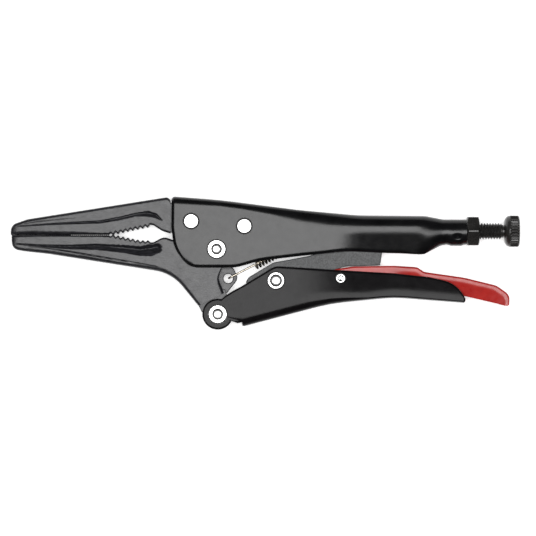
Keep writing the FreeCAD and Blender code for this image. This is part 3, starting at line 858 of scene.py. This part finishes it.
def make_lower_handle():
    """A channel, open above, with a round lobe at each side of the handle pivot."""
    start, end, sheet = -10.2, 90.3, 1.85
    lobe_z, hole = float(lower_half(start)), 3.3

    def section(x):
        high, low, bend = LOWER_TOP(x), LOWER_BOTTOM(x), lower_bend(x)
        half = lower_half(x)
        steps = RIM_STEPS * min(1.0, (high - low - bend) / 3.0)
        y = np.concatenate([high - steps, np.linspace(high - steps[-1], low + bend, 13)[1:]])
        z = lower_wall(x, y, low, bend)
        across, up = quarter_bend(10, 2.15)
        return np.concatenate([np.stack([y, z], 1),
                               np.stack([low + bend - bend * up[1:], half - 3.6 + 3.6 * across[1:]], 1),
                               [[low, 0.0]]])

    stations = np.concatenate([start + RIM_STEPS, np.arange(-7.6, 88.2, 1.3), end - RIM_STEPS[::-1]])
    channel = sweep(section, stations)
    first = section(start)
    # the lobe joins the wall's rows above the notch
    seam_rows = int(np.sum(first[:, 0] > -27.1))
    seam = np.column_stack([np.full(seam_rows, start), first[:seam_rows]])
    top_edge = [(x, LOWER_TOP(x), lobe_z + (first[0, 1] - lobe_z) * float(smooth(x, -18.4, start)))
                for x in np.linspace(-18.4, -11.2, 8)]
    lobe = arc(HANDLE_PIVOT, 7.0, 76, 333, 60)
    notch = [(-14.4, -26.5), (-12.4, -26.9)]
    boundary = np.vstack([[(x, y, lobe_z) for x, y in [*lobe, *notch]], seam[::-1], top_edge[::-1]])
    boundary = np.vstack([boundary, boundary[:1]])
    run = boundary[:, :2] - HANDLE_PIVOT
    reach = np.linalg.norm(run, axis=1)[:, None]
    inner = np.column_stack([HANDLE_PIVOT + run / reach * hole, np.full(len(boundary), lobe_z)])
    rows = []
    for step in np.concatenate([RIM_STEPS, [2.6]]):
        share = np.clip(step / (reach - hole), 0, 0.9)
        rows.append(boundary * (1 - share) + inner * share)
    disc = np.stack([*rows, inner])
    piece = skin("lower_handle", [channel, disc, disc * [1, 1, -1]])
    outer, normals = fold(piece, sheet)
    top_line = [(x, LOWER_TOP(x)) for x in [*np.arange(-18.4, end, 0.8), end]]
    rim = np.vstack([[(start, LOWER_BOTTOM(start))], notch[::-1], lobe[::-1], top_line,
                     [(end, LOWER_BOTTOM(end))]])
    round_rims(piece, outer, normals, rim, lambda x: 0.85 - 0.15 * smooth(x, 80, 90))
    shade(piece, 42)
    place(piece, "lower_handle", "lower_handle", GRIP_STEEL)


def make_release_lever():
    """A folded sheet lever: its web is the upper side of the tail, its walls hold the pivot."""
    upper = rounded([(29.4, -7.5), (29.9, -3.0, 2.5), (40.0, -1.5, 8), (58.0, -1.2, 40), (68.8, -1.9, 2),
                     (71.8, -4.0, 2), (90.0, -6.6, 30), (104.6, -10.2, 6), (110.6, -14.4, 4),
                     (110.3, -18.9)], 4.0)
    lower = rounded([(30.6, -8.6), (33.5, -11.8, 4), (45.0, -9.6, 10), (62.0, -10.4, 20), (80.0, -12.8, 30),
                     (92.0, -15.5, 20), (109.4, -19.5)], 4.0)
    count = 90
    upper = resample(upper, count)
    lower = resample(lower, count)
    half, bend = 3.9, 0.9
    grid = []
    for high, low in zip(upper, lower):
        length = np.linalg.norm(low - high)
        run = (low - high) / length
        reach = min(bend, length * 0.35)
        turn = np.linspace(0, math.pi / 2, 6)
        away = np.concatenate([reach * (1 - np.cos(turn)), np.linspace(reach, length, 12)[1:]])
        z = np.concatenate([half - reach * (1 - np.sin(turn)), np.full(11, half)])
        tail = float(smooth(high[0], 56, 66))
        lean = 0.30 * tail * np.clip(away - reach - 1.3, 0, None)
        z = z - lean - 0.06 * (1 - tail) * away
        row = np.column_stack([high[0] + run[0] * away, high[1] + run[1] * away, z])
        web = np.column_stack([np.full(3, high[0]), np.full(3, high[1]), [0.0, 1.2, 2.2]])
        if high[0] < 57.5:
            web[:] = np.nan
        side = np.vstack([web, row])
        other = side[::-1] * [1, 1, -1]
        grid.append(np.vstack([other[:-1], side]))
    piece = skin("release_lever", [np.stack(grid)])
    outer, _ = fold(piece, 0.95)
    bevel_rims(piece, outer, 0.4, 106)
    bar = rounded([(47.2, -6.4, 0.3), (50.2, -6.4, 0.3), (50.2, -4.6, 0.3), (47.2, -4.6, 0.3)])
    piece = join("release_lever", [piece, plate("pusher_bar", [bar], 3.2, 0.2)])
    shade(piece, 40)
    place(piece, "release_lever", "release_lever", LEVER_RED)


make_upper_handle()
make_lower_handle()
make_release_lever()


# ------------------------------------------------------------------ link, spring and bracket
SPRING_ANCHOR = np.array([22.6, 12.7])


def make_toggle_link():
    """The flat strut from the toggle rivet up to the nose that the adjusting screw bears on."""
    outline = rounded([(-9.2, -9.2, 1.5), (-7.4, -6.4, 2), (3.6, 0.2, 6), (20.0, 3.2, 20), (36.0, 8.6, 30),
                       (44.0, 17.8, 6), (56.8, 17.8, 3.4), (56.8, 11.0, 3.4), (53.4, 8.0, 1),
                       (52.6, 2.6, 1.2), (52.0, -1.1, 0.5), (36.0, -1.6, 10), (22.0, -6.6, 20),
                       (12.0, -13.4, 6), (4.0, -14.6, 6), (-3.0, -13.0, 3)])
    piece = plate("toggle_link", [outline, arc(TOGGLE, 2.95, 0, 350, 36)], 2.8, 0.45, 4)
    shade(piece, 35)
    place(piece, "toggle_link", "toggle_link", LINK_STEEL)


def make_bracket():
    """A small lug inside the upper handle that holds the spring's rear hook."""
    outline = rounded([(18.6, 22.3), (19.6, 10.5, 1), (25.6, 10.5, 1), (25.6, 21.6)])
    piece = plate("spring_bracket", [outline, arc(SPRING_ANCHOR, 0.8, 0, 340, 18)], 1.2, 0.25)
    shade(piece, 35)
    place(piece, "upper_handle", "spring_bracket", LINK_STEEL)


def make_spring():
    """A close-wound tension spring: a hook through the jaw's tab, the coil, a hook in the bracket."""
    start, end = np.array([-4.6, -0.7, 0.0]), np.array([17.6, 10.9, 0.0])
    axis = (end - start) / np.linalg.norm(end - start)
    side = np.array([-axis[1], axis[0], 0.0])
    up = np.array([0.0, 0.0, 1.0])
    turns, radius = 16, 2.05
    steps = np.linspace(0, 1, turns * 20 + 1)
    angle = math.pi / 2 + 2 * math.pi * turns * steps
    coil = (start + np.outer(steps * np.linalg.norm(end - start), axis)
            + radius * (np.outer(np.cos(angle), side) + np.outer(np.sin(angle), up)))
    hook_high = np.array([*SPRING_HOLE, 0.0]) + [1.0, 0.5, 2.1]
    leg = [hook_high + [-0.5, -0.25, -3.2], hook_high + [-0.75, -0.4, -1.8], hook_high + [-0.7, -0.35, -0.7],
           hook_high, hook_high * 0.5 + coil[0] * 0.5]
    eye = np.array([*SPRING_ANCHOR, 0.0])
    rear = [coil[-1] * 0.4 + (eye + [-1.6, 0.0, 1.9]) * 0.6, eye + [-0.7, 0.1, 1.9],
            eye + [0.0, 0.0, 1.2], eye + [0.0, 0.0, -1.6]]
    dense = resample(np.vstack([leg, coil, rear]), 1500)
    kernel = np.ones(5) / 5
    padded = np.vstack([dense[:1]] * 2 + [dense] + [dense[-1:]] * 2)
    dense = np.stack([np.convolve(padded[:, k], kernel, "valid") for k in range(3)], axis=1)
    piece = tube("tension_spring", dense, 0.45, 12)
    shade(piece, 60, weighted=False)
    place(piece, "upper_handle", "tension_spring", SPRING_STEEL)
    stretch_with_jaw(piece)


def stretch_with_jaw(piece):
    """Give the spring its own copy of its mesh."""
    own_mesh(piece)


make_toggle_link()
make_bracket()
make_spring()


# ------------------------------------------------------------------ rivets
def make_rivet(node, body, centre, seat, shank, head, height, dimple, depth):
    """A peened rivet: heads of radius head on walls at height seat, each with a round dimple."""
    top = seat + height
    side = [(0.0, shank), (seat - 0.05, shank), (seat - 0.05, head)]
    edge = [(top - down, head - along) for down, along in
            ((0.40, 0.0), (0.33, 0.05), (0.05, 0.55), (0.01, 0.66), (0.0, 0.8))]
    well = [(top - depth * down, dimple * share) for down, share in
            ((0.0, 1.1), (0.08, 1.03), (0.5, 0.88), (0.65, 0.82), (0.85, 0.55), (1.0, 0.3))]
    well.append((top - depth, 0.02))
    half = side + edge + well
    profile = [(-z, r) for z, r in half[:0:-1]] + half
    piece = lathe(node, profile, centre, sides=72)
    shade(piece, 50)
    place(piece, body, node, RIVET_STEEL)


def make_flush_rivet(node, centre):
    """A rivet ground flush with the wall, with a small round edge."""
    half = [(0.0, 3.6), (6.3, 3.6), (6.37, 3.56), (6.64, 3.1), (6.69, 2.95), (6.7, 2.7), (6.7, 0.02)]
    piece = lathe(node, [(-z, r) for z, r in half[:0:-1]] + half, centre, sides=72)
    shade(piece, 40)
    place(piece, "upper_handle", node, RIVET_STEEL)


def seat_on_lower_handle(centre):
    """Height of the lower handle's wall at a rivet."""
    x, y = centre
    return float(lower_wall(x, y, LOWER_BOTTOM(x), lower_bend(x)))


make_flush_rivet("front_jaw_rivet", FLUSH_RIVETS[0])
make_flush_rivet("rear_jaw_rivet", FLUSH_RIVETS[1])
make_rivet("jaw_pivot_rivet", "upper_handle", JAW_PIVOT, seat=6.6, shank=3.2, head=4.5,
           height=0.75, dimple=2.3, depth=0.62)
make_rivet("handle_pivot_rivet", "lower_handle", HANDLE_PIVOT, seat=5.1, shank=3.2, head=4.5,
           height=0.75, dimple=2.35, depth=0.62)
make_rivet("toggle_rivet", "lower_handle", TOGGLE, seat=seat_on_lower_handle(TOGGLE), shank=2.9,
           head=4.2, height=0.95, dimple=2.6, depth=0.7)
make_rivet("release_lever_rivet", "lower_handle", LEVER, seat=seat_on_lower_handle(LEVER) - 0.15,
           shank=1.6, head=2.5, height=0.5, dimple=1.35, depth=0.3)


# ------------------------------------------------------------------ screw, nut and knob
def round_about_screw(name, profile, radius_at=None, sides=96):
    """Turned about the screw's line; radius_at(angle, x, radius) shapes the rings further."""
    angles = np.linspace(0, 2 * math.pi, sides, endpoint=False)
    rings = []
    for x, radius in profile:
        shaped = np.full(sides, radius) if radius_at is None else radius_at(angles, x, radius)
        rings.append(np.stack([np.full(sides, x), SCREW_Y + shaped * np.cos(angles),
                               shaped * np.sin(angles)], axis=1))
    return tube_of_rings(name, rings)


def make_screw():
    """A right-hand 60-degree thread over the whole rod, with a spigot behind the knob."""
    pitch, outer, depth = 1.25, 3.78, 0.85
    start, end, sides = 61.3, 107.9, 48
    angles = np.linspace(0, 2 * math.pi, sides, endpoint=False)
    rings = []
    for x in np.arange(start, end, pitch / 10):
        phase = (x / pitch - angles / (2 * math.pi)) % 1.0
        cut = np.clip(1.15 * np.abs(2 * phase - 1) - 0.08, 0, 1)
        full = float(smooth(x, start, start + 1.2)) * (1 - float(smooth(x, end - 1.5, end - 0.5)))
        radius = outer - depth * (1 - (1 - cut) * full)
        rings.append(np.stack([np.full(sides, x), SCREW_Y + radius * np.cos(angles),
                               radius * np.sin(angles)], axis=1))
    thread = tube_of_rings("adjusting_screw", rings)
    spigot = round_about_screw("spigot", [(107.0, 2.5), (112.4, 2.5), (112.7, 2.2)], sides=32)
    piece = join("adjusting_screw", [thread, spigot])
    shade(piece, 40, weighted=False)
    place(piece, "adjusting_screw", "adjusting_screw", SCREW_STEEL)


def make_nut():
    """A hexagon nut with a corner towards the viewer and 30-degree chamfers."""
    front, rear, flat, bore, crest = 91.3, 96.8, 6.4, 4.0, 7.27

    def hexagon(angles, x):
        from_flat = (angles + math.pi / 6) % (math.pi / 3) - math.pi / 6
        chamfer = 6.25 + 1.75 * min(x - front, rear - x)
        return np.minimum(np.minimum(flat / np.cos(from_flat), crest), chamfer)

    levels = np.concatenate([front + np.linspace(0, 0.7, 8), [94.0], rear - np.linspace(0.7, 0, 8)])
    profile = [(front, bore)] + [(x, flat) for x in levels] + [(rear, bore)]

    def shape(angles, x, radius):
        return np.full(len(angles), radius) if radius == bore else hexagon(angles, x)

    piece = round_about_screw("lock_nut", profile, shape, sides=180)
    shade(piece, 24)
    place(piece, "lock_nut", "lock_nut", SCREW_STEEL)


def make_knob():
    """A knurled knob with a domed shoulder towards the handle."""
    ridges = 32

    def knurl(angles, x, radius):
        band = float(smooth(x, 110.6, 111.1)) * (1 - float(smooth(x, 114.2, 114.6)))
        wave = np.abs(np.cos(angles * ridges / 2)) ** 1.5
        return radius - 0.42 * band * wave

    shoulder = [(108.2, 3.4), (108.25, 4.2), (108.4, 5.0), (108.7, 5.7), (109.2, 6.35), (109.8, 6.8),
                (110.4, 7.02), (110.6, 7.05)]
    band = [(x, 7.05) for x in np.linspace(110.7, 114.4, 18)]
    end = [(114.6, 7.0), (114.85, 6.75), (115.0, 6.4), (115.0, 5.2), (114.7, 4.9), (114.7, 0.05)]
    piece = round_about_screw("adjusting_knob", shoulder + band + end, knurl, sides=ridges * 10)
    shade(piece, 50)
    place(piece, "adjusting_knob", "adjusting_knob", SCREW_STEEL)


make_screw()
make_nut()
make_knob()
